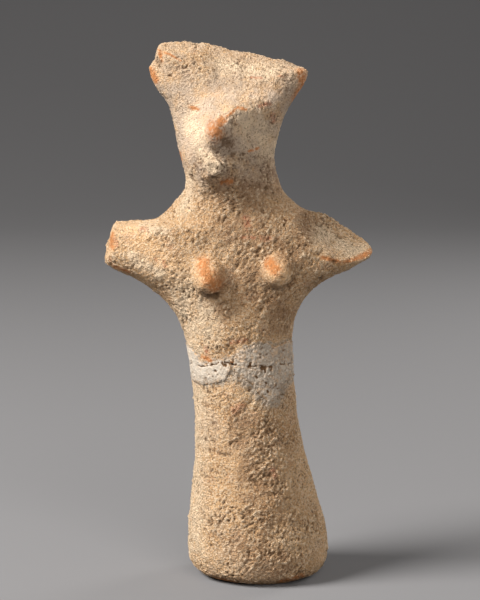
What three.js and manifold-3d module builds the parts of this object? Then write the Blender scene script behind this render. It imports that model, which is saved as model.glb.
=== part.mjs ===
// A hand-modelled terracotta female figurine: a solid columnar body on a flared foot, short broken arm
// stubs, two applied breast pellets, a pinched face and a worn, flaring headdress. It broke through at the
// waist and was mended, so it is two sherds and the restorer's plaster collar. Millimetres, +Z up, the face
// towards -Y. The origin is the middle of the flat underside, and the figure leans a little towards -X.

import * as THREE from "three";
import { mergeVertices } from "three/addons/utils/BufferGeometryUtils.js";
import Module from "manifold-3d";

const wasm = await Module();
wasm.setup();

// The height of the figure as it stands, with its broken crown. Its modelling is drawn in hundredths of it.
const FIGURE_HEIGHT = 141;
const SHARE = FIGURE_HEIGHT / 100;

// Two sherds, or a sherd and the plaster, stand this far apart.
const JOIN_GAP = 0.3;
// How deep the plaster collar fills the chipped edges.
const FILL_DEPTH = 1.9;

// Fineness of the modelled surface, and how close its rows are by their height.
const BODY_ROWS = 56;
const BODY_COLUMNS = 46;
const ROW_DENSITY = [
  [0, 1.5],
  [3.5, 1.1],
  [7.1, 0.6],
  [35.5, 0.5],
  [41.1, 1],
  [70.9, 1],
  [75.2, 1.4],
  [99.3, 1.3],
];

// Landmarks of the outline from the foot to above the crown. Each row has the left edge and the right edge
// in X and Z, how far the body reaches to the front and to the back, and the squareness of its section.
const LANDMARKS = [
  { left: [-9.5, 0], right: [9.7, 0], front: 9.2, back: 8.7, square: 2.1 }, // underside
  { left: [-12.2, 1.4], right: [12.2, 1.4], front: 11.8, back: 11.1, square: 2.1 },
  { left: [-13.2, 4.7], right: [13.3, 4.7], front: 12.7, back: 12, square: 2.1 }, // foot bulge
  { left: [-13.3, 9.2], right: [12.7, 9.2], front: 12.3, back: 11.6, square: 2.1 },
  { left: [-12.8, 14.9], right: [11.1, 15.2], front: 11.5, back: 10.6, square: 2.1 },
  { left: [-12, 22], right: [8.9, 22.7], front: 10.2, back: 9.3, square: 2.1 },
  { left: [-12, 30.7], right: [7.4, 30.7], front: 9.2, back: 8.4, square: 2.1 },
  { left: [-12.8, 39.6], right: [6.5, 39.7], front: 8.7, back: 7.9, square: 2.1 }, // waist
  { left: [-13.9, 45.4], right: [6.2, 45.4], front: 8.4, back: 7.5, square: 2.1 },
  { left: [-15.3, 49.3], right: [6.9, 49.4], front: 8.3, back: 7.3, square: 2.1 }, // ribs
  { left: [-17.7, 52.5], right: [8.7, 53], front: 8.1, back: 7.1, square: 2.1 },
  { left: [-20.4, 55], right: [11.3, 55.5], front: 7.9, back: 7, square: 2.1 },
  { left: [-23.6, 56.7], right: [14.9, 57.4], front: 7.8, back: 6.8, square: 2.15 }, // under the arms
  { left: [-27.1, 58.4], right: [18.4, 59], front: 7.7, back: 6.7, square: 2.25 },
  { left: [-30.9, 61.8], right: [21.6, 61], front: 7.5, back: 6.5, square: 2.35 }, // ends of the arms
  { left: [-31.2, 65.7], right: [20.9, 63.4], front: 7.2, back: 6.4, square: 2.35 },
  { left: [-26.6, 66.9], right: [17.7, 66.2], front: 7, back: 6.3, square: 2.25 }, // tops of the arms
  { left: [-22, 67], right: [13.5, 68.5], front: 6.8, back: 6.2, square: 2.15 },
  { left: [-18.4, 67.9], right: [9.1, 69], front: 6.6, back: 6.1, square: 2.1 }, // shoulders
  { left: [-16.1, 70.2], right: [6.2, 71.1], front: 6.3, back: 6, square: 2.1 },
  { left: [-14.1, 72.8], right: [4.3, 73.3], front: 6.1, back: 5.8, square: 2.1 }, // neck
  { left: [-13.6, 75.9], right: [3.2, 76.3], front: 6.2, back: 5.7, square: 2.15 },
  { left: [-14.8, 80.1], right: [2.9, 80.1], front: 6.3, back: 5.5, square: 2.2 }, // cheeks
  { left: [-15.8, 85.5], right: [4.3, 85.4], front: 6.3, back: 5.5, square: 2.3 },
  { left: [-16.7, 88.9], right: [6, 88.9], front: 5.9, back: 5.6, square: 2.4 }, // brow
  { left: [-19.4, 92.9], right: [8.5, 92.9], front: 4.4, back: 5.7, square: 2.5 },
  { left: [-20.5, 96.3], right: [9.3, 95.8], front: 3.1, back: 5.9, square: 2.6 }, // rim of the headdress
  { left: [-20.8, 102.1], right: [9.7, 102.1], front: 2, back: 6.1, square: 2.6 }, // its lost edge
];

// How unevenly the hands left the clay: a share of its width, in waves that rise by so much.
const HAND_WAVE = { share: 0.014, rise: 6.4 };

// Where the face is pinched forwards: the middle in X and Z, how far the pinch reaches across, up and down,
// and how far it pushes. The face looks a little towards -X.
const FACE_TURN = 15;
// The pinches fade out round the sides of the head by this power of how far forward the clay is.
const PINCH_FADE = 0.7;
const PINCHES = [
  { name: "face", at: [-6.8, 80.8], across: 7.1, up: 5.6, down: 6.7, push: 2.1 },
  { name: "nose", at: [-7, 84.1], across: 2.9, up: 3, down: 2.3, push: 3.5 },
  { name: "nose_root", at: [-4.1, 87.3], across: 3.2, up: 2.2, down: 2.8, push: 2.3 },
  { name: "chin", at: [-7.5, 77], across: 5, up: 2.8, down: 3, push: 2.3 },
  { name: "brow", at: [-3, 88.6], across: 9, up: 1.2, down: 1.2, push: 0.35 },
];

// Lumps of clay pressed on: the middle, the three half sizes, and the turns about X, Y and Z in degrees.
const LUMPS = [
  { name: "left_breast", at: [-9.22, -7.38, 57.52], half: [3.26, 4.4, 3.62], turn: [14, 0, -6] },
  { name: "right_breast", at: [3.62, -6.81, 58.79], half: [3.33, 4.33, 3.33], turn: [12, 0, -4] },
  { name: "nose_tip", at: [-7.8, -9.65, 83.83], half: [2.06, 2.84, 2.62], turn: [-16, 0, -FACE_TURN] },
  { name: "chin_knob", at: [-8.23, -8.23, 77.52], half: [3.12, 2.7, 2.77], turn: [6, 0, -FACE_TURN] },
];
const LUMP_SIDES = 14;
// How much narrower a lump's tip is than its middle.
const LUMP_TAPER = 0.16;

// The lost top of the headdress: heights of the broken face along its back rim and its front rim, from
// left to right. It slopes down to the front, and the front rim climbs to the back one at the left corner.
const CROWN_BACK_RIM = [
  [-28.37, 94.6],
  [-20.6, 95.4],
  [-20, 96.5],
  [-19.3, 96.9],
  [-19, 99.3],
  [-18.2, 100.2],
  [-13.83, 100.5],
  [-10.07, 100.21],
  [-6.81, 99.36],
  [-3.26, 98.65],
  [0.71, 97.87],
  [2.7, 97.3],
  [5.32, 96.74],
  [7.38, 95.89],
  [8.9, 95.5],
  [9.5, 94.7],
  [14.18, 93.6],
];
const CROWN_FRONT_RIM = [
  [-28.37, 94.6],
  [-20.6, 95.2],
  [-19.5, 96.4],
  [-18.9, 98.9],
  [-13.97, 96.45],
  [-10.07, 94.75],
  [-7.23, 93.4],
  [-1.56, 93.05],
  [3.69, 94.04],
  [7.52, 95],
  [8.9, 94.9],
  [9.5, 94.3],
  [14.18, 93.6],
];
// Where the two rims lie in Y, how the face swells between them, how the back rim is rolled off by wear, and
// how deep and how wide the grain of the clay is.
const CROWN_FACE = { front: -3.3, back: 3.69, swell: 0.75, roll: 0.5, grain: 0.14, grainSize: 1.8 };

// The right arm's scar is a scoop that faces forwards and up. The left arm ends in a steep, uneven face.
const RIGHT_SCAR = { at: [23.7, -12.85, 78.4], radius: 21.3 };
const LEFT_SCAR = {
  at: [-27.8, 0, 62.84],
  facing: [-0.92, -0.2, 0.3],
  size: 28,
  grain: 0.43,
  grainSize: 2.1,
};

// The waist break: its height, its slope down to the back, how far forward it meets the skin, how far it
// strays from the slope along the front from left to right, and its grain.
const BREAK_HEIGHT = 40.43;
const BREAK_SLOPE = 0.09;
const BREAK_EDGE_DEPTH = 5.7;
const BREAK_STRAYS = [
  [-13.48, 0],
  [-10.07, -0.5],
  [-8.09, 0.28],
  [-6.81, 0.85],
  [-5.39, 0.5],
  [-3.97, 0],
  [0, -0.14],
  [1.84, 0.21],
  [6.38, 0],
];
const BREAK_GRAIN = { depth: 0.21, size: 2.8 };

// How far the plaster collar reaches above and below the break, by the angle round the waist in degrees
// from the right, with the front at -90.
const FILL_REACH = [
  [-180, 3.5, 2.5],
  [-160, 3.1, 2.7],
  [-145, 1.7, 2.8],
  [-136, 0.1, 3],
  [-123, 0.1, 3.3],
  [-110, 0.1, 3],
  [-103, 0.3, 2.4],
  [-97, 1.3, 1.1],
  [-90, 2.9, 1.7],
  [-80, 3.5, 2.5],
  [-70, 3.6, 4.4],
  [-63, 4.3, 6.1],
  [-55, 3.5, 6.5],
  [-48, 2.9, 5.8],
  [-42, 3.2, 3.7],
  [-36, 3.5, 3.1],
  [-22, 4, 2.1],
  [0, 3.4, 1.9],
  [40, 2.3, 2.5],
  [80, 3, 3.1],
  [120, 2.3, 2.3],
  [150, 3, 2.1],
  [180, 3.5, 2.5],
];
// The narrow gap in the collar at the front, where the lower sherd's own clay still meets the break.
const FILL_OPENING = [
  [-5.6, 43.97],
  [-5.53, 40.85],
  [-8.23, 35.46],
  [-2.7, 35.46],
  [-4.26, 40.71],
  [-4.33, 43.97],
];

// A small, repeatable unevenness from -1 to 1, with bumps about two units apart.
function wave(a, b, turn = 0) {
  const slow = Math.sin(a * 1.7 + turn) * Math.cos(b * 1.3 - turn);
  const quick = Math.sin(a * 3.9 + b * 2.3 + turn * 2.7);
  return 0.62 * slow + 0.38 * quick;
}

// The value of a table of [place, value, ...] rows at a place, in a straight line between its rows.
function between(table, place, column = 1) {
  const found = table.findIndex((row) => row[0] >= place);
  const next = found < 0 ? table.length - 1 : Math.max(1, found);
  const share = (place - table[next - 1][0]) / (table[next][0] - table[next - 1][0]);
  return THREE.MathUtils.lerp(
    table[next - 1][column],
    table[next][column],
    THREE.MathUtils.clamp(share, 0, 1),
  );
}

function solidOf(geometry) {
  const bare = geometry.index ? geometry.toNonIndexed() : geometry.clone();
  bare.deleteAttribute("normal");
  bare.deleteAttribute("uv");
  const merged = mergeVertices(bare, 1e-4);
  const mesh = new wasm.Mesh({
    numProp: 3,
    vertProperties: merged.attributes.position.array,
    triVerts: new Uint32Array(merged.index.array),
  });
  return new wasm.Manifold(mesh);
}

function geometryOf(solid) {
  const mesh = solid.getMesh();
  const geometry = new THREE.BufferGeometry();
  geometry.setAttribute("position", new THREE.BufferAttribute(mesh.vertProperties, mesh.numProp));
  geometry.setIndex(new THREE.BufferAttribute(mesh.triVerts, 1));
  geometry.computeVertexNormals();
  return geometry;
}

// Moves every vertex of a geometry with a function of its place.
function reshape(geometry, move) {
  const place = geometry.attributes.position;
  const point = new THREE.Vector3();
  for (let i = 0; i < place.count; i++) {
    point.fromBufferAttribute(place, i);
    move(point);
    place.setXYZ(i, point.x, point.y, point.z);
  }
  return geometry;
}

// The landmark rows as curves that step from row to row together.
function landmarkCurves() {
  const curve = (pick) =>
    new THREE.SplineCurve(LANDMARKS.map((row) => new THREE.Vector2(...pick(row)).multiplyScalar(SHARE)));
  return {
    left: curve((row) => row.left),
    right: curve((row) => row.right),
    depth: curve((row) => [row.front, row.back]),
    square: new THREE.SplineCurve(LANDMARKS.map((row) => new THREE.Vector2(row.square, 0))),
  };
}

// Steps along the landmark curves that leave rows evenly far apart, closer where the density is higher.
function rowSteps(curves) {
  const samples = BODY_ROWS * 12;
  const walked = [0];
  for (let i = 1; i <= samples; i++) {
    const [before, after] = [(i - 1) / samples, i / samples];
    const onLeft = curves.left.getPoint(before).distanceTo(curves.left.getPoint(after));
    const onRight = curves.right.getPoint(before).distanceTo(curves.right.getPoint(after));
    const density = between(ROW_DENSITY, curves.right.getPoint(after).y / SHARE);
    walked.push(walked[i - 1] + (onLeft + onRight) * density);
  }
  const steps = [];
  for (let row = 0; row <= BODY_ROWS; row++) {
    const target = (walked[samples] * row) / BODY_ROWS;
    steps.push(walked.findIndex((length) => length >= target - 1e-9) / samples);
  }
  return steps;
}

// How far the fingers pushed the clay of the face forwards at a place seen from the front.
function pinchAt(x, z) {
  const pushes = PINCHES.map((pinch) => {
    const across = (x / SHARE - pinch.at[0]) / pinch.across;
    const rise = z / SHARE - pinch.at[1];
    const along = rise / (rise > 0 ? pinch.up : pinch.down);
    return SHARE * pinch.push * Math.exp(-across * across - along * along);
  });
  return pushes.reduce((sum, push) => sum + push, 0);
}

// The rolled and pinched clay body: a lathed skin whose rows follow the landmarks, closed at both ends.
function rolledBody() {
  const curves = landmarkCurves();
  const steps = rowSteps(curves);
  const facing = THREE.MathUtils.degToRad(FACE_TURN);
  const profile = [0, ...steps.map(() => 1), 0].map((radius, row) => new THREE.Vector2(radius, row));
  const skin = new THREE.LatheGeometry(profile, BODY_COLUMNS);
  return reshape(skin, (point) => {
    const row = Math.min(Math.max(Math.round(point.y) - 1, 0), BODY_ROWS);
    const isCap = Math.hypot(point.x, point.z) < 0.5;
    const left = curves.left.getPoint(steps[row]);
    const right = curves.right.getPoint(steps[row]);
    const depth = curves.depth.getPoint(steps[row]);
    const power = 2 / curves.square.getPoint(steps[row]).x;
    const around = 2 * Math.atan2(point.z, point.x);
    const hand = 1 + HAND_WAVE.share * wave(around, left.y / (HAND_WAVE.rise * SHARE));
    const across = isCap ? 0 : hand * Math.sign(point.z) * Math.abs(point.z) ** power;
    const deep = isCap ? 0 : hand * Math.sign(point.x) * Math.abs(point.x) ** power;
    point.set(
      (left.x + right.x) / 2 + (across * (right.x - left.x)) / 2,
      deep * (deep < 0 ? depth.x : depth.y),
      (left.y + right.y) / 2 + (across * (right.y - left.y)) / 2,
    );
    const push = pinchAt(point.x, point.z) * Math.max(-deep, 0) ** PINCH_FADE;
    point.x -= push * Math.sin(facing);
    point.y -= push * Math.cos(facing);
  });
}

// Sizes, turns and places a form that is drawn in hundredths of the height.
function placed(geometry, { at, turn = [0, 0, 0] }) {
  const angles = turn.map((degrees) => THREE.MathUtils.degToRad(degrees));
  geometry.scale(SHARE, SHARE, SHARE);
  geometry.applyMatrix4(new THREE.Matrix4().makeRotationFromEuler(new THREE.Euler(...angles)));
  return geometry.translate(...at.map((place) => place * SHARE));
}

// A lump of clay pressed on or pinched out: an egg, blunter towards the body than towards its tip at -Y.
function lump({ at, half, turn }) {
  const egg = new THREE.SphereGeometry(1, LUMP_SIDES, LUMP_SIDES / 2);
  egg.rotateX(Math.PI / 2);
  reshape(egg, (point) => {
    const taper = 1 - LUMP_TAPER * Math.max(-point.y, 0);
    point.set(point.x * half[0] * taper, point.y * half[1], point.z * half[2] * taper);
  });
  return solidOf(placed(egg, { at, turn }));
}

// What is missing above the broken face of the headdress.
function lostCrown() {
  const { front, back, swell, roll, grain, grainSize } = CROWN_FACE;
  const [firstX, lastX] = [CROWN_BACK_RIM[0][0], CROWN_BACK_RIM.at(-1)[0]];
  const top = LANDMARKS.at(-1).left[1] * 1.1;
  const block = new THREE.BoxGeometry(lastX - firstX, 4 * back, top, 52, 8, 1);
  block.translate((firstX + lastX) / 2, 0, 0);
  reshape(block, (point) => {
    const across = THREE.MathUtils.clamp((point.y - front) / (back - front), 0, 1);
    const frontRim = between(CROWN_FRONT_RIM, point.x);
    const backRim = between(CROWN_BACK_RIM, point.x);
    const face = THREE.MathUtils.lerp(frontRim, backRim, across ** swell);
    const rolledOff = roll * Math.max(point.y - back, 0);
    const grainy = grain * wave(point.x / grainSize, point.y / grainSize);
    point.z = point.z > 0 ? top : face - rolledOff + grainy;
  });
  return solidOf(placed(block, { at: [0, 0, 0] }));
}

function rightArmScar() {
  const { at, radius } = RIGHT_SCAR;
  return solidOf(placed(new THREE.IcosahedronGeometry(radius, 5), { at }));
}

function leftArmScar() {
  const { at, facing, size, grain, grainSize } = LEFT_SCAR;
  const block = new THREE.BoxGeometry(size, size, size, 14, 14, 1);
  block.translate(0, 0, size / 2);
  reshape(block, (point) => {
    if (point.z < size / 2) point.z += grain * wave(point.x / grainSize, point.y / grainSize);
  });
  const turned = new THREE.Quaternion().setFromUnitVectors(
    new THREE.Vector3(0, 0, 1),
    new THREE.Vector3(...facing).normalize(),
  );
  return solidOf(placed(block.applyQuaternion(turned), { at }));
}

function wholeFigure() {
  return LUMPS.map(lump)
    .reduce((body, piece) => body.add(piece), solidOf(rolledBody()))
    .subtract(lostCrown())
    .subtract(rightArmScar())
    .subtract(leftArmScar());
}

// The height of the waist break at a place in plan.
function breakAt(x, y) {
  const forward = THREE.MathUtils.clamp(-y / (BREAK_EDGE_DEPTH * SHARE), 0, 1);
  const stray = between(BREAK_STRAYS, x / SHARE) * forward;
  const width = BREAK_GRAIN.size * SHARE;
  const grain = BREAK_GRAIN.depth * wave(x / width, y / width, 1);
  return SHARE * (BREAK_HEIGHT + stray + grain) - BREAK_SLOPE * y;
}

// Everything below the waist break, raised by an offset: a block wider than the foot.
function belowBreak(offset) {
  const footWidth = Math.max(...LANDMARKS.slice(0, 5).map((row) => row.right[0] - row.left[0])) * SHARE;
  const size = 1.28 * footWidth;
  const block = new THREE.BoxGeometry(size, size, size, 26, 26, 1);
  reshape(block, (point) => {
    point.z = point.z > 0 ? breakAt(point.x, point.y) + offset : -size / 8;
  });
  return solidOf(block);
}

// The plaster before it is cut to the body's outer face: a collar round the waist, grown by an offset. Its
// section is a square that is lathed first, then each corner is moved to its own wall and edge.
function fillCollar(offset) {
  const curves = landmarkCurves();
  const waistRow = LANDMARKS.findIndex((row) => row.left[1] > BREAK_HEIGHT) - 1;
  const [left, right, depth] = [curves.left, curves.right, curves.depth].map((curve) =>
    curve.getPoint(waistRow / (LANDMARKS.length - 1)),
  );
  const [inner, outer] = [2, 3];
  const corners = [
    [inner, -1],
    [outer, -1],
    [outer, 1],
    [inner, 1],
    [inner, -1],
  ];
  const section = corners.map((corner) => new THREE.Vector2(...corner));
  const collar = new THREE.LatheGeometry(section, 60);
  reshape(collar, (point) => {
    const angle = Math.atan2(point.x, point.z);
    const degrees = THREE.MathUtils.radToDeg(angle);
    const isInner = Math.hypot(point.x, point.z) < (inner + outer) / 2;
    const grown = isInner ? -(FILL_DEPTH + offset) : right.x;
    const x = (left.x + right.x) / 2 + Math.cos(angle) * ((right.x - left.x) / 2 + grown);
    const y = Math.sin(angle) * ((Math.sin(angle) < 0 ? depth.x : depth.y) + grown);
    const above = between(FILL_REACH, degrees, 1) * SHARE + offset;
    const below = between(FILL_REACH, degrees, 2) * SHARE + offset;
    point.set(x, y, breakAt(x, y) + (point.y > 0 ? above : -below));
  });
  return solidOf(collar).subtract(fillOpening(offset));
}

// The clay that stands in the collar's opening, drawn in by an offset on each side.
function fillOpening(offset) {
  const middle = FILL_OPENING[0][0] + (FILL_OPENING.at(-1)[0] - FILL_OPENING[0][0]) / 2;
  const outline = FILL_OPENING.map(([x, z]) => {
    const inwards = offset * Math.sign(middle - x);
    return new THREE.Vector2(x * SHARE + inwards, z * SHARE);
  });
  const depth = 2 * LANDMARKS[0].front * SHARE;
  const opening = new THREE.ExtrudeGeometry(new THREE.Shape(outline), { depth, bevelEnabled: false });
  opening.rotateX(Math.PI / 2);
  return solidOf(opening);
}

function namedMesh(name, solid, look) {
  const mesh = new THREE.Mesh(geometryOf(solid), new THREE.MeshStandardMaterial(look));
  mesh.name = name;
  return mesh;
}

const TERRACOTTA = { color: 0xc2a078, roughness: 0.95, metalness: 0 };
const PLASTER = { color: 0xb9b3a8, roughness: 0.9, metalness: 0 };

const figure = wholeFigure();
const chippedEdges = fillCollar(JOIN_GAP);
const upper = figure.subtract(belowBreak(JOIN_GAP / 2)).subtract(chippedEdges);
const lower = figure.intersect(belowBreak(-JOIN_GAP / 2)).subtract(chippedEdges);
const fill = figure.intersect(fillCollar(0));

const figurine = new THREE.Group();
figurine.add(namedMesh("upper_figure", upper, TERRACOTTA));
figurine.add(namedMesh("lower_figure", lower, TERRACOTTA));
figurine.add(namedMesh("join_fill", fill, PLASTER));

export default figurine;
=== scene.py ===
# A hand-modelled terracotta female figurine, broken through at the waist and mended, on a grey floor.
# The solid shapes come from the frame. Here each sherd gets its gritty skin, its wear and its colours.
# Left and right are those of the picture. Sizes are in millimetres, and the studio's are in metres.

import math

import bmesh
import bpy
import numpy as np
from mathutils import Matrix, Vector, kdtree, noise


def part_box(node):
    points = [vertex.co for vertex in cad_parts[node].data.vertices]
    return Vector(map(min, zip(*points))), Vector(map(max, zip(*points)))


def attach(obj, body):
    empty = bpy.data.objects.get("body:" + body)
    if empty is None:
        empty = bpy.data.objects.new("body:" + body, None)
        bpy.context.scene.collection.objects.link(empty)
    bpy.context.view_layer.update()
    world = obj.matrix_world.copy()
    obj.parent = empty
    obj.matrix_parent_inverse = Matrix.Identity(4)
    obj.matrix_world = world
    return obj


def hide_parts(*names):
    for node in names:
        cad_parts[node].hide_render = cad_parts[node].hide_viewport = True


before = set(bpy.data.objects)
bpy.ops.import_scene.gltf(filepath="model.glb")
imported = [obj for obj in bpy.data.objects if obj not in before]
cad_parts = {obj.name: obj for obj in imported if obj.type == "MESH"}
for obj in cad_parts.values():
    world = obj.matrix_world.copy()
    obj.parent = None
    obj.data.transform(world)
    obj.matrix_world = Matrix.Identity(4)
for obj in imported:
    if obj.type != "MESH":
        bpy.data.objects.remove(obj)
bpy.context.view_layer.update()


# The lower sherd: the columnar skirt on its flared, flat foot, rolled by hand from coarse clay full of
# grit, wiped while it was wet and then fired. It ends in the broken face at the waist.
MM = 0.001

# How finely the sherd is meshed again, and how many times its facets are rubbed soft. The chipped edges of
# the break stay crisp, from a little below the top of the sherd to a little above it.
LOWER_GRAIN = 0.308
LOWER_SOFTENING = 4
MERGE_REACH = 0.002
CRISP_BELOW = 13
CRISP_ABOVE = 8

# Marks on the front are strokes of a round brush: both ends in X and Z, and the brush's half width, in mm.
LOWER_DENTS = [
  (-11.2, 35.0, -9.6, 34.5, 0.7),  # a curved nick across the skirt
  (-9.6, 34.5, -7.6, 34.4, 0.6),
  (-13.8, 51.6, -13.4, 50.6, 0.5),
  (-2.0, 28.6, -0.4, 27.6, 0.7),
]
LOWER_SCRATCH = [(1.4, 43.9, 4.6, 39.6, 0.28), (4.6, 39.6, 7.2, 36.8, 0.24)]
LOWER_ORANGE = [
  (5.5, 1.2, 11.5, 2.2, 0.9),  # worn edge of the foot
  (-12.0, 1.0, -6.0, 0.6, 0.6),
]
LOWER_RED = [(-6.5, 46.5, -4.5, 47.5, 1.6), (3.5, 31.0, 4.2, 29.0, 1.2), (-14.8, 53.6, -14.2, 53.2, 0.5)]
# Pale strokes: painted light down the lit left side of the skirt, and a small pale spot above it.
LOWER_PALE_AND_LIT = [(-13.9, 51.8, -13.5, 50.2, 0.8), (-16.0, 50.0, -17.5, 8.0, 4.0)]
# Darker patches down the middle of the skirt and along the bottom of the foot.
LOWER_DARKER_PATCHES = [
  (-2.0, 12.0, 4.0, 6.0, 6.0),
  (-3.0, 40.0, 2.0, 18.0, 7.0),  # down the middle
  (-6.0, 45.0, -4.0, 40.0, 4.0),
  (-12.0, 1.0, 12.0, 1.0, 2.4),
]

HALFWAY = 0.5
ALL_AXES = {"use_axis_x": True, "use_axis_y": True, "use_axis_z": True}


def rubbed(solid, verts, rounds):
  """Rubs some points of a solid soft, each round halfway to the middle of their neighbours."""
  for _ in range(rounds):
    bmesh.ops.smooth_vert(solid, verts=verts, factor=HALFWAY, **ALL_AXES)


def fine_copy(name, node, grain, softening, crisp):
  """A closed, evenly fine copy of a solid, rubbed soft all over except between two crisp heights."""
  solid = bmesh.new()
  solid.from_mesh(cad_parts[node].data)
  bmesh.ops.remove_doubles(solid, verts=solid.verts, dist=MERGE_REACH * MM)
  piece = bpy.data.objects.new(name, bpy.data.meshes.new(name))
  solid.to_mesh(piece.data)
  bpy.context.scene.collection.objects.link(piece)
  evenly = piece.modifiers.new("evenly_fine", "REMESH")
  evenly.mode = "VOXEL"
  evenly.voxel_size = grain * MM
  remeshed = piece.evaluated_get(bpy.context.evaluated_depsgraph_get())
  piece.data = bpy.data.meshes.new_from_object(remeshed)
  piece.modifiers.clear()
  solid.clear()
  solid.from_mesh(piece.data)
  soft = [vert for vert in solid.verts if not crisp[0] < vert.co.z / MM < crisp[1]]
  rubbed(solid, soft, softening)
  rubbed(solid, solid.verts, 1)
  solid.to_mesh(piece.data)
  solid.free()
  piece.data.shade_smooth()
  return piece


def skin(piece):
  """The places of a piece's points in millimetres, and the ways that they face."""
  count = len(piece.data.vertices)
  places = np.empty(3 * count, np.float32)
  facing = np.empty(3 * count, np.float32)
  piece.data.vertices.foreach_get("co", places)
  piece.data.vertex_normals.foreach_get("vector", facing)
  return places.reshape(-1, 3).astype(float) / MM, facing.reshape(-1, 3).astype(float)


def raised(piece, heights):
  """Moves each point of a piece outwards by its height in millimetres, but never into the floor."""
  places, facing = skin(piece)
  moved = (places + facing * heights[:, None]) * MM
  moved[:, 2] = np.maximum(moved[:, 2], 0)
  piece.data.vertices.foreach_set("co", moved.astype(np.float32).ravel())
  piece.data.update()


def kept(piece, name, amounts):
  """Keeps an amount for each point of a piece, for its finish to read by name."""
  layer = piece.data.attributes.new(name, "FLOAT", "POINT")
  layer.data.foreach_set("value", np.clip(amounts, 0, 1).astype(np.float32))


def ramp(amounts, zero, one):
  """How far amounts have come on the way from where they count as 0 to where they count as 1."""
  return np.clip((amounts - zero) / (one - zero), 0, 1)


# Patterns in the clay, each as the size of one of its forms and a turn that keeps it unlike the others.
PACKED_GRAINS = (0.7, 3)
FINE_GRIT = (0.55, 5)
GRIT_PITS = (0.66, 0)
LUMPS = (1.8, 0)
SWELLINGS = (2.9, 12)
CREASES = (2.4, 11)
HAND_MARKS = (7, 7)
FINGER_MARKS = (3.4, 9)
ROUGH_PATCHES = (6, 6)

# How far the patterns stand out from the clay or go into it.
PACKED_HEIGHT = 0.21
FINE_HEIGHT = 0.25
PIT_DEPTH = 0.15
LUMP_HEIGHT = 0.16
SWELLING_HEIGHT = 0.1
CREASE_DEPTH = 0.1
HAND_HEIGHT = 0.26
FINGER_HEIGHT = 0.15

# Pits lie where soft bumps fall below minus a share, with a sloping side, and creases where they are nearly
# 0. The clay is never less rough than the least.
PIT_SHARE = 0.26
PIT_SIDE = 0.16
CREASE_SHARE = 0.08
LEAST_ROUGH = 0.55


def shifted(places, pattern, turn):
  """Places measured in the size of a pattern, and shifted by its turn and by the piece's."""
  size, own_turn = pattern
  shift = (turn + own_turn) * Vector((1, 2, 3))
  return [Vector(place) / size + shift for place in places]


def bumps(places, pattern, turn=0):
  """Soft unevenness from -1 to 1."""
  return np.array([noise.noise(place) for place in shifted(places, pattern, turn)])


def grains(places, pattern, turn):
  """Packed grains: near 1 on top of a grain and 0 in the gaps."""
  return np.array([1 - noise.voronoi(place)[0][0] for place in shifted(places, pattern, turn)])


def pits(places, pattern, share, turn=0):
  """Uneven pits, 1 deep, where soft bumps fall below minus a share."""
  return ramp(bumps(places, pattern, turn), -share, -share - PIT_SIDE)


# A mark on the front is gone, and is whole, from these values of the way that the clay faces along Y and of
# its place along Y, so that no mark wraps round to the side.
MARK_FACING = (0.3, -0.05)
MARK_DEPTH = (4.5, -0.5)


def strokes(places, facing, marks):
  """How much the strokes of a list of marks leave on the front, from 0 to 1."""
  front = ramp(facing[:, 1], *MARK_FACING) * ramp(places[:, 1], *MARK_DEPTH)
  left = np.zeros(len(places))
  seen = places[:, [0, 2]]
  for x1, z1, x2, z2, width in marks:
    start = np.array([x1, z1])
    along = np.array([x2 - x1, z2 - z1])
    share = np.clip((seen - start) @ along / (along @ along), 0, 1)
    distance = np.linalg.norm(seen - start - share[:, None] * along, axis=1)
    left = np.maximum(left, np.exp(-((distance / width) ** 2)))
  return left * front


# The diagonal in which the clay was wiped, and how much of a pattern's length along it is squeezed out.
WIPING_WAY = np.array([0.55, 0.0, 0.83])
WIPING_SQUEEZE = 0.5


def wiped(places):
  """Places squeezed along the diagonal in which the wet clay was wiped, which draws its grain out."""
  along = places @ WIPING_WAY
  return places - WIPING_SQUEEZE * along[:, None] * WIPING_WAY


def patchy(places, turn):
  """How rough the clay is from place to place, from about half to one and a half."""
  return LEAST_ROUGH + ramp(bumps(places, ROUGH_PATCHES, turn), -0.5, 0.5)


def lumpy(places, turn):
  """The relief of drying clay dragged by a hand: soft lumps parted by creases."""
  drawn = wiped(places)
  lumps = LUMP_HEIGHT * bumps(drawn, LUMPS, turn) + SWELLING_HEIGHT * bumps(drawn, SWELLINGS, turn)
  creases = ramp(np.abs(bumps(drawn, CREASES, turn)), CREASE_SHARE, 0)
  return (lumps - CREASE_DEPTH * creases) * patchy(places, turn)


def gritty(places, turn):
  """The relief of coarse, weathered clay: packed grains, fine grit and pits."""
  drawn = wiped(places)
  packed = PACKED_HEIGHT * (grains(drawn, PACKED_GRAINS, turn) - 0.5)
  fine = FINE_HEIGHT * bumps(places, FINE_GRIT, turn)
  holes = PIT_DEPTH * pits(drawn, GRIT_PITS, PIT_SHARE, turn)
  return (packed + fine - holes) * patchy(places, turn)


# What the finish is told of the relief: the height from its deepest hollow to its highest top, and the
# shares of the lumps and dents that count, so that dirt and painted shade lie in the fine hollows and a
# painted highlight on the tops. Smooth clay is still a little rough.
RELIEF_SPAN = 0.9
LUMPS_COUNTED = 0.35
DENTS_COUNTED = 0.4
ROUGH_AT_LEAST = 0.4


def weathered(piece, turn, roughness, dents, ridges=0):
  """Gives a piece the relief of its clay, more or less of it by a roughness, with dents and ridges."""
  places, _ = skin(piece)
  relief = gritty(places, turn) * roughness
  lumps = lumpy(places, turn) * roughness
  drawn = wiped(places)
  hand = HAND_HEIGHT * bumps(drawn, HAND_MARKS, turn) + FINGER_HEIGHT * bumps(drawn, FINGER_MARKS, turn)
  raised(piece, relief + lumps + hand + ridges - dents)
  kept(piece, "relief", 0.5 + (relief + LUMPS_COUNTED * lumps - DENTS_COUNTED * dents) / RELIEF_SPAN)
  kept(piece, "rough", ROUGH_AT_LEAST + (1 - ROUGH_AT_LEAST) * roughness)


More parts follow.
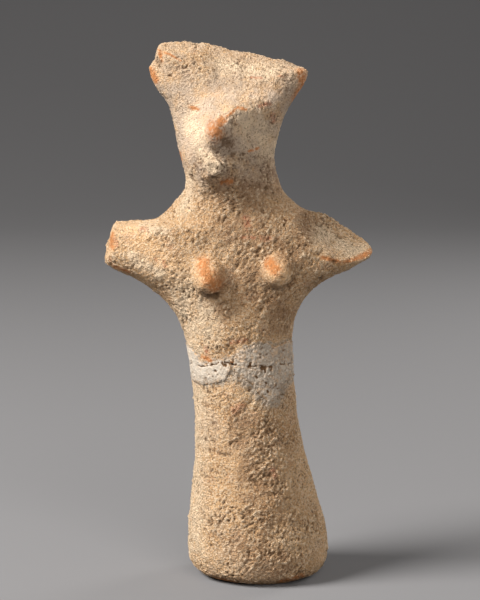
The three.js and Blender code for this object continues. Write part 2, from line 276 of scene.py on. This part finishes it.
def wired(tree, made, inputs):
  """Gives a node its inputs, which are plain values or links."""
  for socket, value in inputs.items():
    if isinstance(value, bpy.types.NodeSocket):
      tree.links.new(value, made.inputs[socket])
    else:
      made.inputs[socket].default_value = value


def added(tree, kind, inputs, **settings):
  """A new node with its settings and its inputs."""
  made = tree.nodes.new(kind)
  for setting, value in settings.items():
    setattr(made, setting, value)
  wired(tree, made, inputs)
  return made


def painted(tree, name):
  """The amount that the points of a piece keep under a name."""
  return added(tree, "ShaderNodeAttribute", {}, attribute_name=name).outputs["Fac"]


def worked(tree, operation, first, second):
  """Two amounts added, multiplied and so on."""
  return added(tree, "ShaderNodeMath", {0: first, 1: second}, operation=operation).outputs[0]


def between(tree, amount, limits):
  """An amount stretched to run from 0 at one limit to 1 at the other."""
  inputs = {"Value": amount, "From Min": limits[0], "From Max": limits[1]}
  return added(tree, "ShaderNodeMapRange", inputs, interpolation_type="SMOOTHSTEP").outputs["Result"]


# How broken the patches are, and the patches that eat into a ragged edge but leave at least a share of it.
CLOUD_ROUGHNESS = 0.62
RAGGED_LIMITS = (0.25, 0.68)
RAGGED_AT_LEAST = 0.25


def patches(tree, pattern, detail=3):
  """Uneven patches from 0 to 1, as their size, their turn and the limits between which they fade in."""
  size, turn, limits = pattern
  place = added(tree, "ShaderNodeTexCoord", {}).outputs["Object"]
  cloud = added(
    tree,
    "ShaderNodeTexNoise",
    {"Vector": place, "W": turn, "Scale": 1 / (size * MM), "Detail": detail, "Roughness": CLOUD_ROUGHNESS},
    noise_dimensions="4D",
  )
  return between(tree, cloud.outputs["Fac"], limits)


def ragged(tree, name, pattern):
  """A kept amount that is broken up by patches, most of all at its edge."""
  size, turn, limits = pattern
  cloud = patches(tree, (size, turn, RAGGED_LIMITS), detail=4)
  worn = worked(tree, "MULTIPLY", painted(tree, name), worked(tree, "ADD", cloud, RAGGED_AT_LEAST))
  return between(tree, worn, limits)


# The sockets of a node that mixes colours have names that they share with others, so they go by number.
MIX_AMOUNT = 0
MIX_BELOW = 6
MIX_ABOVE = 7
MIX_RESULT = 2


def layered(tree, ground, layers):
  """A ground colour under layers, each as its colour, its amount and the share of that which shows."""
  seen = ground
  for colour, amount, share in layers:
    inputs = {MIX_AMOUNT: worked(tree, "MULTIPLY", amount, share), MIX_BELOW: seen, MIX_ABOVE: colour}
    mix = added(tree, "ShaderNodeMix", inputs, data_type="RGBA", clamp_factor=True)
    seen = mix.outputs[MIX_RESULT]
  return seen


# Colours of the clay, of its wear and of what lies on it. The dark browns also stand for painted shade,
# and the cream also for a painted highlight.
BUFF = (0.71, 0.445, 0.232, 1)
TAN = (0.56, 0.325, 0.152, 1)
STAIN_AND_SHADE_BROWN = (0.29, 0.16, 0.08, 1)
CREAM = (0.82, 0.63, 0.43, 1)
DIRT_AND_SHADE = (0.15, 0.08, 0.036, 1)
WORN_ORANGE = (0.43, 0.165, 0.05, 1)
IRON_RED = (0.50, 0.17, 0.085, 1)
ROSE = (0.62, 0.35, 0.215, 1)
LIME_GREY = (0.50, 0.42, 0.335, 1)
BLOOM = (0.53, 0.405, 0.30, 1)

# Patches of colour, each as the size of one, its turn and the limits between which it fades in.
TAN_PATCHES = (11, 0.0, (0.38, 0.62))
ROSE_PATCHES = (5, 7.0, (0.52, 0.72))
CREAM_CRUMBS = (0.55, 1.0, (0.46, 0.6))
RED_FLECKS = (0.8, 9.0, (0.7, 0.78))
DIRT_SPECKS = (0.42, 11.0, (0.55, 0.62))
CLAY_GRAIN = (0.42, 13.0, (0.25, 0.75))

# The same for the ragged edges of what is painted on, and the heights of the tops that get a painted
# highlight and of the hollows that get dirt and painted shade.
BLOOM_EDGE = (3.5, 15.0, (0.0, 0.9))
STAIN_AND_SHADE_EDGE = (2.5, 8.0, (0.0, 1.1))
PALE_AND_LIT_EDGE = (2.0, 14.0, (0.1, 1.2))
SMEAR_EDGE = (1.0, 5.0, (0.15, 0.7))
RED_EDGE = (0.7, 3.0, (0.2, 1.05))
ORANGE_EDGE = (0.9, 2.0, (0.12, 0.9))
HIGHLIGHTED_TOPS = (0.5, 0.7)
DIRTY_AND_SHADED_HOLLOWS = (0.44, 0.16)

# How deep the clay's finest grain is, how matt the clay is unrubbed and rubbed, and how much it shines.
CLAY_BUMP = 0.75
MATT = 0.93
RUBBED = 0.66
DULL = 0.25


def fired_terracotta():
  """Buff clay with cream and a painted highlight on its grains, dirt and painted shade in its hollows and
  orange where it is rubbed.
  """
  material = bpy.data.materials.new("fired_terracotta")
  material.use_nodes = True
  tree = material.node_tree
  relief = painted(tree, "relief")
  rough = painted(tree, "rough")
  orange = ragged(tree, "orange", ORANGE_EDGE)
  layers = [
    (TAN, patches(tree, TAN_PATCHES), 1.0),
    (ROSE, patches(tree, ROSE_PATCHES), 0.45),
    (CREAM, worked(tree, "MULTIPLY", patches(tree, CREAM_CRUMBS), rough), 0.75),
    (BLOOM, ragged(tree, "bloom", BLOOM_EDGE), 1.0),
    # painted shade and darker patches: dark brown under the chin, down the neck, round the breasts and
    # elsewhere
    (STAIN_AND_SHADE_BROWN, ragged(tree, "stain_and_shade", STAIN_AND_SHADE_EDGE), 0.7),
    # painted highlight: cream on the tops of the relief
    (CREAM, between(tree, relief, HIGHLIGHTED_TOPS), 0.7),
    # pale clay and painted light: cream on the lit left side and on the shaded right cheek
    (CREAM, ragged(tree, "pale_and_lit", PALE_AND_LIT_EDGE), 0.95),
    (LIME_GREY, ragged(tree, "smear", SMEAR_EDGE), 0.85),
    (IRON_RED, ragged(tree, "red", RED_EDGE), 0.8),
    (WORN_ORANGE, orange, 0.95),
    (IRON_RED, patches(tree, RED_FLECKS), 0.6),
    # dirt and painted shade: dark brown in the hollows of the relief
    (DIRT_AND_SHADE, between(tree, relief, DIRTY_AND_SHADED_HOLLOWS), 0.75),
    (DIRT_AND_SHADE, worked(tree, "MULTIPLY", patches(tree, DIRT_SPECKS), rough), 0.7),
  ]
  grain = patches(tree, CLAY_GRAIN, detail=4)
  bump = added(tree, "ShaderNodeBump", {"Height": grain, "Strength": rough, "Distance": CLAY_BUMP * MM})
  sheen = added(tree, "ShaderNodeMapRange", {"Value": orange, "To Min": MATT, "To Max": RUBBED})
  surface = {
    "Base Color": layered(tree, BUFF, layers),
    "Roughness": sheen.outputs["Result"],
    "Normal": bump.outputs["Normal"],
    "Specular IOR Level": DULL,
  }
  wired(tree, tree.nodes["Principled BSDF"], surface)
  return material


# The lower sherd's own turn of every pattern, how rough it is, how deep its marks are, how strong its red
# is, and its patchy bloom.
LOWER_TURN = 1
LOWER_ROUGHNESS = 1.1
LOWER_DENT_DEPTH = 0.5
SCRATCH_DEPTH = 0.4
LOWER_RED_SHARE = 0.7
LOWER_BLOOM = (12, 16)
LOWER_BLOOM_MOST = 0.4

# The underside is worn smooth: as high as its edge rises, and where it faces down.
UNDERSIDE_SMOOTHNESS = 0.95
UNDERSIDE_RISE = 1.2
UNDERSIDE_FACING = -0.6

lower_top = (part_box("lower_figure")[1] / MM).z
waist = (lower_top - CRISP_BELOW, lower_top + CRISP_ABOVE)
lower_sherd = fine_copy("lower_sherd", "lower_figure", LOWER_GRAIN, LOWER_SOFTENING, waist)
places, facing = skin(lower_sherd)
underside = ramp(places[:, 2], UNDERSIDE_RISE, 0) * (facing[:, 2] < UNDERSIDE_FACING)
roughness = LOWER_ROUGHNESS - UNDERSIDE_SMOOTHNESS * underside
scratch = SCRATCH_DEPTH * strokes(places, facing, LOWER_SCRATCH)
dents = LOWER_DENT_DEPTH * strokes(places, facing, LOWER_DENTS) + scratch
weathered(lower_sherd, LOWER_TURN, roughness, dents)
kept(lower_sherd, "orange", strokes(places, facing, LOWER_ORANGE))
kept(lower_sherd, "red", LOWER_RED_SHARE * strokes(places, facing, LOWER_RED))
kept(lower_sherd, "pale_and_lit", strokes(places, facing, LOWER_PALE_AND_LIT))
kept(lower_sherd, "stain_and_shade", strokes(places, facing, LOWER_DARKER_PATCHES))
kept(lower_sherd, "bloom", np.clip(bumps(places, LOWER_BLOOM), 0, LOWER_BLOOM_MOST))
terracotta = fired_terracotta()
lower_sherd.data.materials.append(terracotta)
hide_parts("lower_figure")
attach(lower_sherd, "root")


# The upper sherd: torso, broken arm stubs, breast pellets pressed on, the pinched face and the worn,
# flaring headdress, all one lump of the same clay. The parts that stick out are rubbed, and a crust is
# left on the chin.
UPPER_GRAIN = 0.369
UPPER_SOFTENING = 4

UPPER_ORANGE = [
  (-11.6, 120.0, -10.9, 118.4, 2.5),  # tip of the nose
  (-10.9, 120.4, -9.2, 122.0, 1.3),
  (-9.2, 122.0, -5.8, 124.7, 0.45),
  (-5.4, 124.9, -3.4, 124.4, 0.5),
  (-9.4, 105.9, -7.2, 106.1, 1.1),  # under the chin
  (-17.6, 124.8, -15.8, 124.4, 0.7),  # left brow
  (-2.6, 113.7, -0.2, 114.5, 0.45),
  (-14.4, 85.0, -13.2, 81.8, 2.2),  # left breast
  (-12.8, 81.6, -11.4, 79.8, 2.8),
  (2.8, 85.0, 4.2, 83.4, 1.8),  # right breast
  (-26.4, 139.6, -23.0, 138.2, 0.4),  # the headdress's left corner and its edge
  (-23.0, 138.2, -20.2, 136.7, 0.3),
  (-25.6, 138.6, -25.2, 136.8, 0.6),
  (-28.2, 134.4, -26.9, 131.6, 1.2),  # left tip of the rim
  (11.0, 133.6, 11.6, 130.8, 1.7),  # right tip of the rim
  (11.6, 130.4, 9.6, 126.6, 1.3),
  (-21.0, 112.8, -20.4, 111.0, 0.8),
  (-38.8, 91.6, -38.4, 88.4, 1.2),  # end of the left arm
  (-37.6, 83.2, -34.0, 81.6, 0.6),
  (22.0, 84.6, 26.2, 85.4, 0.6),  # edge of the right arm's scar
  (26.2, 85.4, 29.6, 86.8, 0.9),
  (16.2, 86.2, 21.0, 84.8, 0.6),
  (-14.6, 60.0, -12.6, 59.1, 0.8),  # bare clay at the break
  (-12.6, 59.1, -11.0, 58.8, 0.6),
  (-8.2, 59.1, -4.2, 58.5, 0.6),
]
UPPER_RED = [
  (0.2, 125.2, 2.6, 125.8, 0.9),
  (3.5, 122.8, 3.8, 121.4, 1.1),
  (-2.2, 132.3, 0.7, 132.1, 0.4),
  (4.8, 132.7, 6.4, 132.5, 0.4),
  (-3.3, 96.2, -2.9, 94.0, 1.5),  # chest
  (0.9, 91.3, 2.9, 91.0, 1.1),
  (-4.4, 91.6, -1.0, 91.4, 0.7),
  (6.8, 96.2, 7.1, 96.0, 0.35),
  (-37.5, 90.4, -37.0, 88.9, 0.7),  # left arm
  (-39.0, 85.2, -38.8, 84.8, 0.6),
  (-38.2, 83.7, -38.0, 83.4, 0.5),
  (-26.9, 85.8, -26.5, 85.2, 0.6),
  (-24.8, 85.0, -24.4, 84.0, 0.8),
  (-30.4, 93.5, -28.6, 93.2, 0.9),
  (-7.2, 64.2, -3.4, 64.8, 1.0),  # above the mend
  (-13.8, 62.6, -13.2, 60.2, 0.8),
]
# Pale strokes: painted light on the lit left cheek, face, arm, flank and neck and on the shaded right
# cheek. The chin's crust, the end of the left arm, the right arm's scar and the top of the headdress get
# paler strokes too.
UPPER_PALE_AND_LIT = [
  (-15.8, 119.0, -14.6, 113.0, 2.6),  # left cheek
  (-13.0, 111.8, -11.0, 109.8, 2.6),  # chin
  (-17.0, 124.0, -18.0, 119.0, 2.0),
  (-38.4, 86.6, -38.0, 86.2, 1.0),
  (-30.0, 94.0, -24.0, 93.0, 1.6),  # left arm
  (-33.0, 86.0, -26.0, 82.0, 2.4),
  (17.0, 91.6, 28.0, 86.6, 4.0),  # right arm's scar
  (-3.0, 121.0, 3.0, 114.0, 5.0),  # right cheek
  (-10.0, 136.0, 4.0, 133.5, 3.0),  # top of the headdress
  (-16.5, 60.0, -20.0, 78.0, 4.6),  # left flank
  (-13.0, 66.0, -14.5, 74.0, 4.0),
  (-19.5, 98.0, -18.5, 107.0, 2.6),  # left of the neck
]
# Painted shade under and right of the chin, down the neck and in the creases round the breasts, and darker
# patches on the chest, the belly and the headdress's right tip.
UPPER_SHADE_AND_STAIN = [
  (-6.0, 104.5, -1.0, 98.0, 5.0),  # neck
  (-10.0, 103.0, -6.0, 99.0, 3.5),
  (-7.0, 94.0, 4.0, 89.0, 6.0),  # between the breasts
  (-3.0, 82.0, 6.0, 70.0, 6.0),
  (9.0, 86.0, 13.0, 95.0, 4.0),
  (-14.0, 74.0, -8.0, 72.0, 3.0),
  (2.0, 110.0, 4.0, 104.0, 3.0),  # right of the chin
  (9.8, 129.6, 8.6, 125.4, 1.2),
  (-8.0, 105.4, 0.0, 104.6, 1.8),  # under the chin
  (-6.0, 105.0, 0.0, 104.6, 1.8),
  (9.6, 82.0, 8.6, 79.0, 0.9),  # round the breasts
  (-8.2, 80.0, -9.5, 77.0, 0.9),
  (-9.5, 77.0, -14.0, 76.2, 1.0),
]
UPPER_DENTS = [
  (-8.6, 116.3, -7.6, 115.6, 1.7),  # hollow under the nose
  (-6.9, 113.2, -6.6, 112.6, 0.55),
  (-12.1, 107.2, -11.5, 107.2, 0.55),
  (-17.8, 106.9, -17.3, 105.9, 0.5),
  (-24.0, 140.6, -23.4, 140.5, 0.25),  # headdress
  (-6.9, 135.4, -6.7, 135.4, 0.28),
  (-5.4, 136.0, -5.2, 136.0, 0.32),
  (-4.6, 134.9, -4.5, 134.9, 0.22),
  (-8.0, 136.8, -7.9, 136.8, 0.28),
  (5.0, 133.5, 5.1, 133.4, 0.45),
  (-26.8, 137.0, -25.4, 136.0, 0.6),  # groove above the left tip
  (-25.9, 135.4, -25.7, 135.2, 0.35),
  (-23.2, 132.9, -22.8, 132.8, 0.35),
  (-12.4, 76.4, -11.0, 76.2, 0.7),  # below the left breast
  (6.0, 81.7, 6.2, 81.5, 0.4),
  (7.0, 96.1, 7.1, 96.0, 0.35),
  (18.6, 93.9, 19.2, 93.7, 0.5),  # right arm's scar
  (21.0, 90.8, 21.8, 90.4, 0.45),
  (19.4, 85.0, 19.6, 84.8, 0.4),
  (16.2, 80.2, 16.4, 80.0, 0.4),
]
UPPER_SHALLOWS = [
  (-14.6, 77.4, -12.6, 76.2, 0.8),  # creases round the breasts
  (-12.6, 76.2, -10.0, 76.6, 0.8),
  (-10.0, 76.6, -8.6, 78.6, 0.7),
  (9.6, 82.6, 9.3, 80.2, 0.6),
  (9.3, 80.2, 6.6, 78.4, 0.6),
  (-16.6, 112.6, -15.8, 109.4, 1.6),
]
UPPER_RIDGES = [
  (-2.9, 112.8, -0.3, 113.9, 0.6),
  (-9.0, 132.6, -1.0, 131.9, 0.9),  # front edge of the headdress's break
  (-1.0, 131.9, 6.0, 133.2, 0.8),
  (13.6, 92.0, 18.6, 86.4, 0.8),  # edge of the right arm's scar
  (-13.4, 111.6, -11.4, 109.0, 1.1),
  (-10.2, 110.2, -8.6, 108.8, 0.9),
]
BREAST_MIDDLES = [(-12.6, 82.2), (4.8, 83.6)]
BREAST_RADIUS = 4.6
CRUSTED_CHIN = [(-12.8, 111.0, -9.0, 109.4, 3.4), (-9.0, 109.4, -3.8, 110.4, 2.2)]
SMOOTH_SKIN = [
  (-14.8, 125.0, -14.0, 115.0, 3.4),
  (-19.0, 121.0, -18.0, 114.0, 2.4),
  (-9.5, 124.0, -11.0, 119.0, 1.8),
  (-14.0, 127.5, 4.0, 128.5, 2.2),
  (-32.0, 90.5, -25.0, 86.0, 4.0),  # left arm
]

# The pale bloom by height: a little on the body, and most on the face.
BLOOM_HEIGHTS = [60, 100, 110, 128, 136]
BLOOM_AMOUNTS = [0.1, 0.15, 0.8, 0.75, 0.45]

# The upper sherd's own turn of every pattern, how deep or high its marks are, and how strong its red is.
UPPER_TURN = 2
UPPER_DENT_DEPTH = 0.75
SHALLOW_DEPTH = 0.4
RIDGE_HEIGHT = 0.32
UPPER_RED_SHARE = 0.8

# The head is a little smoother than the body, from the neck up.
HEAD_HEIGHTS = (106, 112)
HEAD_SOFTNESS = 0.1

# The crust on the chin is lumpier and rougher than the clay.
CRUST_LUMPS = (1.7, 12)
CRUST_HEIGHT = 1.0
CRUST_ROUGHNESS = 0.7

# How far rubbing has smoothed the clay at its most, and the share of that for each rubbed part. On a breast
# it is nothing at the first of two shares of its radius, and full at the second.
RUBBED_SMOOTHNESS = 0.75
ORANGE_SHARE = 0.7
SKIN_SHARE = 0.6
BREAST_SHARE = 0.7
BREAST_FADING = (16 / 15, 0.4)

upper_sherd = fine_copy("upper_sherd", "upper_figure", UPPER_GRAIN, UPPER_SOFTENING, waist)
places, facing = skin(upper_sherd)
orange = strokes(places, facing, UPPER_ORANGE)
smooth = np.maximum(ORANGE_SHARE * orange, SKIN_SHARE * strokes(places, facing, SMOOTH_SKIN))
for middle in BREAST_MIDDLES:
  reach = np.linalg.norm(places[:, [0, 2]] - middle, axis=1) / BREAST_RADIUS
  breast = ramp(reach, *BREAST_FADING) * (facing[:, 1] < 0)
  smooth = np.maximum(smooth, BREAST_SHARE * breast)
crust = strokes(places, facing, CRUSTED_CHIN)
shallows = SHALLOW_DEPTH * strokes(places, facing, UPPER_SHALLOWS)
dents = UPPER_DENT_DEPTH * strokes(places, facing, UPPER_DENTS) + shallows
crumbling = CRUST_HEIGHT * crust * bumps(places, CRUST_LUMPS)
ridges = RIDGE_HEIGHT * strokes(places, facing, UPPER_RIDGES) + crumbling
head = ramp(places[:, 2], *HEAD_HEIGHTS)
roughness = (1 + CRUST_ROUGHNESS * crust) * (1 - RUBBED_SMOOTHNESS * smooth) * (1 - HEAD_SOFTNESS * head)
weathered(upper_sherd, UPPER_TURN, roughness, dents, ridges)
kept(upper_sherd, "orange", orange)
kept(upper_sherd, "red", UPPER_RED_SHARE * strokes(places, facing, UPPER_RED))
kept(upper_sherd, "pale_and_lit", strokes(places, facing, UPPER_PALE_AND_LIT))
kept(upper_sherd, "stain_and_shade", strokes(places, facing, UPPER_SHADE_AND_STAIN))
kept(upper_sherd, "bloom", np.interp(places[:, 2], BLOOM_HEIGHTS, BLOOM_AMOUNTS))
upper_sherd.data.materials.append(terracotta)
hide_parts("upper_figure")
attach(upper_sherd, "root")


# The mend: the restorer's pale grey plaster, pressed into the chipped edges of the break and wiped over
# them. A thin crack follows the break through it, and its edges thin out over the clay.
PLASTER_GRAIN = 0.24
PLASTER_TURN = 36

# The plaster stands a little proud of the break, and its ragged lip reaches over the clay above and below.
# It is thin enough for the clay to show through within a reach of its borders.
PLASTER_RISE = 0.1
PLASTER_LIP = 0.65
LIP_RAGGEDNESS = 0.25
LIP_PATTERN = (2.0, 31)
THIN_REACH = 1.8

# How far a point is from facing outwards: on the lip, on the plaster's outside and on its borders.
LIP_FROM = 0.35
OUTSIDE_UP_TO = 0.5
BORDERS_FROM = 0.8

# The plaster is smooth on the left and coarse on the right, and changes between two places across.
COARSE_ACROSS = [-8, -5.6]
COARSE_AMOUNTS = [0.3, 0.9]
PLASTER_LUMPS = (1.6, 35)
PLASTER_LUMP_HEIGHT = 0.18
PLASTER_PITS = (0.9, 34)
PLASTER_PIT_SHARE = 0.4
PLASTER_PIT_DEPTH = 0.3

# The crack follows the break: how it wanders, where it opens and closes, and its height across the front.
CRACK_DEPTH = 0.55
CRACK_WIDTH = 0.14
CRACK_WANDER = (1.5, 32)
CRACK_WANDER_HEIGHT = 0.3
CRACK_OPENINGS = (2.6, 33)
CRACK_OPENING_LIMITS = (-0.375, 0.25)
BREAK_MIDDLE = 57.0
BREAK_SLOPE = 0.09
BREAK_FRONT = (0, -8)
BACK_STRAY = (6, 38)
BACK_STRAY_HEIGHT = 0.7
CRACK_ACROSS = [-19, -14.2, -11.4, -9.6, -7.6, -5.6, 0, 2.6, 9]
CRACK_HEIGHTS = [57.0, 56.6, 57.4, 58.2, 57.7, 57.0, 56.9, 57.3, 57.0]
CRACK_HOLES = [
  (1.0, 57.7, 1.6, 57.3, 0.45),
  (1.6, 57.3, 1.7, 56.4, 0.3),
  (3.0, 57.6, 3.4, 57.5, 0.3),
  (-0.8, 58.2, -0.6, 58.1, 0.35),
  (-8.8, 58.3, -8.7, 58.2, 0.35),
  (-11.5, 56.6, -11.3, 56.5, 0.3),
]
PLASTER_WHITE = [(-14.5, 57.0, -10.0, 56.4, 2.2), (-17.5, 62.0, -17.0, 56.0, 2.0)]


def crack_height(places):
  """The height of the break where it meets the skin, as it is seen in front and as it may stray behind."""
  front = ramp(places[:, 1], *BREAK_FRONT)
  front_stray = (np.interp(places[:, 0], CRACK_ACROSS, CRACK_HEIGHTS) - BREAK_MIDDLE) * front
  back_stray = BACK_STRAY_HEIGHT * (1 - front) * bumps(places, BACK_STRAY)
  return BREAK_MIDDLE + front_stray + back_stray - BREAK_SLOPE * places[:, 1]


def nearest_of(places):
  """A tree that finds the nearest of some places."""
  tree = kdtree.KDTree(len(places))
  for index, place in enumerate(places):
    tree.insert(place, index)
  tree.balance()
  return tree


def distances(places, nearest):
  """How far each of some places is from the nearest one in a tree."""
  return np.array([nearest.find(place)[2] for place in places])


PLASTER_GREY = (0.335, 0.28, 0.222, 1)
PLASTER_PALE = (0.435, 0.365, 0.292, 1)
PLASTER_DUST = (0.565, 0.497, 0.412, 1)

# Patches and edges on the plaster, as on the clay, and the heights of its dirty hollows.
PALE_CLOUDS = (3, 21.0, (0.4, 0.62))
DUST_CRUMBS = (0.8, 22.0, (0.5, 0.66))
CLAY_EDGE = (0.9, 23.0, (0.4, 1.1))
CLAY_TINTS = (1.1, 26.0, (0.46, 0.66))
DIRTY_SPECKS = (0.5, 24.0, (0.56, 0.66))
PLASTER_HOLLOWS = (0.36, 0.1)
PLASTER_FINE_GRAIN = (0.45, 25.0, (0.2, 0.8))
PLASTER_BUMP = 0.3
PLASTER_ROUGHNESS = 0.9


def mending_plaster():
  """Chalky grey plaster, paler where it is thick, with fine pits and the clay showing through its edges."""
  material = bpy.data.materials.new("mending_plaster")
  material.use_nodes = True
  tree = material.node_tree
  dirty = painted(tree, "dirty")
  layers = [
    (PLASTER_PALE, patches(tree, PALE_CLOUDS), 1.0),
    (PLASTER_DUST, patches(tree, DUST_CRUMBS), 0.6),
    (PLASTER_DUST, painted(tree, "white"), 0.7),
    (TAN, ragged(tree, "thin", CLAY_EDGE), 0.85),
    (TAN, worked(tree, "MULTIPLY", patches(tree, CLAY_TINTS), dirty), 0.5),
    (DIRT_AND_SHADE, worked(tree, "MULTIPLY", patches(tree, DIRTY_SPECKS), dirty), 0.8),
    (DIRT_AND_SHADE, between(tree, painted(tree, "relief"), PLASTER_HOLLOWS), 1.0),
  ]
  grain = patches(tree, PLASTER_FINE_GRAIN, detail=5)
  inputs = {"Height": grain, "Strength": 1.0, "Distance": PLASTER_BUMP * MM}
  bump = added(tree, "ShaderNodeBump", inputs)
  surface = {
    "Base Color": layered(tree, PLASTER_GREY, layers),
    "Roughness": PLASTER_ROUGHNESS,
    "Normal": bump.outputs["Normal"],
    "Specular IOR Level": DULL,
  }
  wired(tree, tree.nodes["Principled BSDF"], surface)
  return material


plaster_mend = fine_copy("plaster_mend", "join_fill", PLASTER_GRAIN, 0, waist)
places, facing = skin(plaster_mend)
plan = (places - places.mean(0))[:, :2]
outwards = plan / np.linalg.norm(plan, axis=1)[:, None]
edge = 1 - np.abs((facing[:, :2] * outwards).sum(1))
lip = PLASTER_LIP + LIP_RAGGEDNESS * bumps(places, LIP_PATTERN)
raised(plaster_mend, np.where(edge > LIP_FROM, lip, PLASTER_RISE))
places, facing = skin(plaster_mend)
wander = CRACK_WANDER_HEIGHT * bumps(places, CRACK_WANDER)
from_crack = np.abs(places[:, 2] - crack_height(places) - wander)
open_crack = ramp(bumps(places, CRACK_OPENINGS), *CRACK_OPENING_LIMITS)
crack = np.exp(-((from_crack / CRACK_WIDTH) ** 2)) * open_crack
holes = strokes(places, facing, CRACK_HOLES)
pitted = PLASTER_PIT_DEPTH * pits(places, PLASTER_PITS, PLASTER_PIT_SHARE)
coarse = np.interp(places[:, 0], COARSE_ACROSS, COARSE_AMOUNTS)
lumps = PLASTER_LUMP_HEIGHT * bumps(places, PLASTER_LUMPS)
relief = lumps + coarse * gritty(places, PLASTER_TURN) - CRACK_DEPTH * np.maximum(crack, holes) - pitted
raised(plaster_mend, relief)
borders = nearest_of(places[edge > BORDERS_FROM])
kept(plaster_mend, "relief", 0.5 + relief / RELIEF_SPAN)
kept(plaster_mend, "white", strokes(places, facing, PLASTER_WHITE))
kept(plaster_mend, "dirty", coarse)
kept(plaster_mend, "thin", 1 - distances(places, borders) / THIN_REACH)
plaster_mend.data.materials.append(mending_plaster())
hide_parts("join_fill")
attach(plaster_mend, "root")

# Grey smears of plaster on the clay round the mend, widening from left to right on the lower sherd.
SMEAR_REACH = 3.2
NARROW_SMEAR = 1.5
SMEAR_WIDENING = [-12, -7]
SMEAR_ZONE = 16

outside = nearest_of(places[edge < OUTSIDE_UP_TO])
for sherd, widest in ((lower_sherd, SMEAR_REACH), (upper_sherd, NARROW_SMEAR)):
  places, _ = skin(sherd)
  near = np.abs(places[:, 2] - BREAK_MIDDLE) < SMEAR_ZONE
  reaches = np.interp(places[near][:, 0], SMEAR_WIDENING, [NARROW_SMEAR, widest])
  smear = np.zeros(len(places))
  smear[near] = 1 - distances(places[near], outside) / reaches
  kept(sherd, "smear", smear)


# The studio: a matt grey floor that sweeps up into a wall far behind, a large soft light from the upper
# left, a weak one that opens the shadows, and a low one behind on the right. The camera looks down a
# little.
FLOOR_WIDTH = 12.0
FLOOR_FRONT = -1.6
FLOOR_BACK = 2.2
WALL_HEIGHT = 2.4
SWEEP_RADIUS = 1.3
SWEEP_SEGMENTS = 24
PAPER_GREY = (0.15, 0.149, 0.154, 1)
PAPER_ROUGHNESS = 0.9

sheet = bmesh.new()
corners = [(-FLOOR_WIDTH / 2, FLOOR_FRONT, 0), (FLOOR_WIDTH / 2, FLOOR_FRONT, 0)]
front_edge = sheet.edges.new([sheet.verts.new(corner) for corner in corners])
floor_strip = bmesh.ops.extrude_edge_only(sheet, edges=[front_edge])["geom"]
back_verts = [part for part in floor_strip if isinstance(part, bmesh.types.BMVert)]
bmesh.ops.translate(sheet, verts=back_verts, vec=(0, FLOOR_BACK - FLOOR_FRONT, 0))
strip_edges = [part for part in floor_strip if isinstance(part, bmesh.types.BMEdge)]
fold = [edge for edge in strip_edges if set(edge.verts) == set(back_verts)]
wall_strip = bmesh.ops.extrude_edge_only(sheet, edges=fold)["geom"]
top_verts = [part for part in wall_strip if isinstance(part, bmesh.types.BMVert)]
bmesh.ops.translate(sheet, verts=top_verts, vec=(0, 0, WALL_HEIGHT))
bmesh.ops.bevel(
  sheet,
  geom=fold,
  offset=SWEEP_RADIUS,
  segments=SWEEP_SEGMENTS,
  profile=0.5,
  affect="EDGES",
  material=-1,
)
studio_floor = bpy.data.objects.new("studio_floor", bpy.data.meshes.new("studio_floor"))
sheet.to_mesh(studio_floor.data)
sheet.free()
studio_floor.data.shade_smooth()
bpy.context.scene.collection.objects.link(studio_floor)
matt_paper = bpy.data.materials.new("matt_paper")
matt_paper.use_nodes = True
paper = {"Base Color": PAPER_GREY, "Roughness": PAPER_ROUGHNESS}
wired(matt_paper.node_tree, matt_paper.node_tree.nodes["Principled BSDF"], paper)
studio_floor.data.materials.append(matt_paper)

# Each light's name, place, width, power in watts and colour.
STUDIO_LIGHTS = [
  ("key_light", (-0.84, -0.3, 0.83), 0.6, 36.5, (1.0, 0.975, 0.94)),
  ("fill_light", (0.34, -1.0, 0.62), 0.9, 10.0, (1.0, 0.965, 0.93)),
  ("rim_light", (0.55, 0.5, 0.3), 0.3, 2.8, (1.0, 0.98, 0.95)),
]
LIT_MIDDLE = Vector((-0.005, 0, 0.085))
AIR_COLOUR = (0.53, 0.51, 0.5, 1)
AIR_GLOW = 0.13


def turned(way):
  """The turn of a lamp or a camera that makes it look a way."""
  return way.to_track_quat("-Z", "Y").to_euler()


for name, place, size, power, colour in STUDIO_LIGHTS:
  lamp = bpy.data.lights.new(name, "AREA")
  lamp.shape = "DISK"
  lamp.size = size
  lamp.energy = power
  lamp.color = colour
  light = bpy.data.objects.new(name, lamp)
  light.location = place
  light.rotation_euler = turned(LIT_MIDDLE - Vector(place))
  bpy.context.scene.collection.objects.link(light)

world = bpy.data.worlds.new("studio_air")
world.use_nodes = True
air = {"Color": AIR_COLOUR, "Strength": AIR_GLOW}
wired(world.node_tree, world.node_tree.nodes["Background"], air)
bpy.context.scene.world = world
bpy.context.scene.view_settings.view_transform = "Standard"

# The lens and the sensor are in millimetres, as lenses are sold.
CAMERA_LENS = 120
CAMERA_SENSOR = 36
CAMERA_CLIP = 0.01
CAMERA_DISTANCE = 0.529
CAMERA_ELEVATION = math.radians(8)
CAMERA_TARGET = Vector((-0.0049, 0, 0.07375))

camera = bpy.data.objects.new("studio_camera", bpy.data.cameras.new("studio_camera"))
camera.data.lens = CAMERA_LENS
camera.data.sensor_width = CAMERA_SENSOR
camera.data.clip_start = CAMERA_CLIP
back = Vector((0, -math.cos(CAMERA_ELEVATION), math.sin(CAMERA_ELEVATION)))
camera.location = CAMERA_TARGET + CAMERA_DISTANCE * back
camera.rotation_euler = turned(-back)
bpy.context.scene.collection.objects.link(camera)
bpy.context.scene.camera = camera
